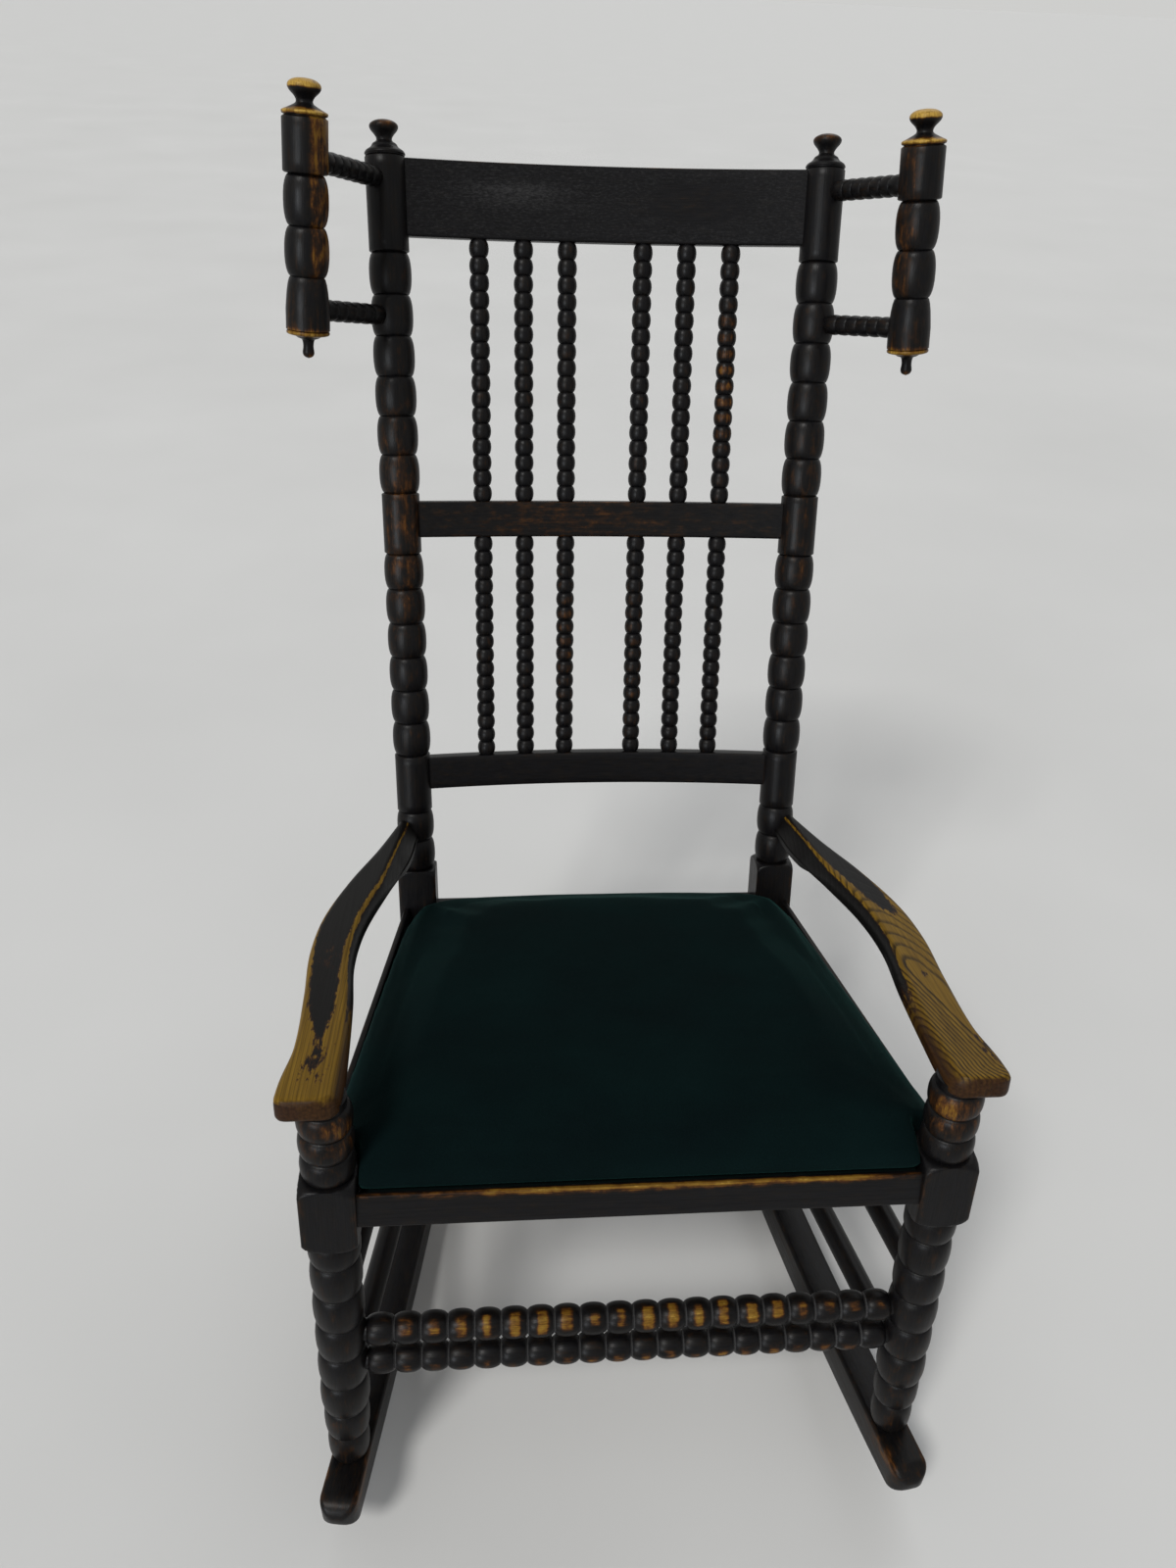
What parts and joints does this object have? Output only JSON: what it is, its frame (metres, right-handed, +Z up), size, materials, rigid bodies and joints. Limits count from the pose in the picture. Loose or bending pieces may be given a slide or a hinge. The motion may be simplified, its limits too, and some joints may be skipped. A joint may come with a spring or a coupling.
{
  "type": "rocking chair",
  "caption": "High-backed rocking chair with bobbin-turned posts, bead spindles, winged back, shaped arms and a drop-in velvet seat on curved rockers.",
  "frame": {"origin": "centre of the bounding box's footprint, on the floor", "axes": "+Z up; the chair faces -Y; +X is the right side as seen from the front"},
  "size_m": [0.5832, 0.7669, 1.1109],
  "materials": {
    "ebonised_ash": "satin, worn",
    "worn_ash": "worn, bare in places",
    "pine": "raw",
    "jute_webbing": "woven",
    "green_velvet": "velvet pile"
  },
  "bodies": {
    "chair": {"rocker_left": "ebonised_ash", "rocker_right": "ebonised_ash", "front_leg_left": "ebonised_ash", "front_leg_right": "ebonised_ash", "rear_post_left": "ebonised_ash", "rear_post_right": "ebonised_ash", "wing_post_left": "ebonised_ash", "wing_post_right": "ebonised_ash", "wing_spindle_upper_left": "ebonised_ash", "wing_spindle_upper_right": "ebonised_ash", "wing_spindle_lower_left": "ebonised_ash", "wing_spindle_lower_right": "ebonised_ash", "arm_left": "worn_ash", "arm_right": "worn_ash", "side_stretcher_upper_left": "ebonised_ash", "side_stretcher_upper_right": "ebonised_ash", "side_stretcher_lower_left": "ebonised_ash", "side_stretcher_lower_right": "ebonised_ash", "front_stretcher_upper": "ebonised_ash", "front_stretcher_lower": "ebonised_ash", "back_stretcher": "ebonised_ash", "seat_rail_front": "ebonised_ash", "seat_rail_back": "ebonised_ash", "seat_rail_left": "ebonised_ash", "seat_rail_right": "ebonised_ash", "crest_rail": "ebonised_ash", "middle_rail": "ebonised_ash", "lower_rail": "ebonised_ash", "upper_spindle_1": "ebonised_ash", "upper_spindle_2": "ebonised_ash", "upper_spindle_3": "ebonised_ash", "upper_spindle_4": "ebonised_ash", "upper_spindle_5": "ebonised_ash", "upper_spindle_6": "ebonised_ash", "lower_spindle_1": "ebonised_ash", "lower_spindle_2": "ebonised_ash", "lower_spindle_3": "ebonised_ash", "lower_spindle_4": "ebonised_ash", "lower_spindle_5": "ebonised_ash", "lower_spindle_6": "ebonised_ash"},
    "seat": {"seat_slip_front": "pine", "seat_slip_back": "pine", "seat_slip_left": "pine", "seat_slip_right": "pine", "strap_across_1": "jute_webbing", "strap_across_2": "jute_webbing", "strap_across_3": "jute_webbing", "strap_along_1": "jute_webbing", "strap_along_2": "jute_webbing", "strap_along_3": "jute_webbing", "seat_pad": "green_velvet"}
  },
  "joints": [
    {"name": "seat_lift", "type": "slide", "parent": "chair", "child": "seat", "axis": [0, 0.1908, 0.9816], "range_m": [0, 0.035]}
  ]
}
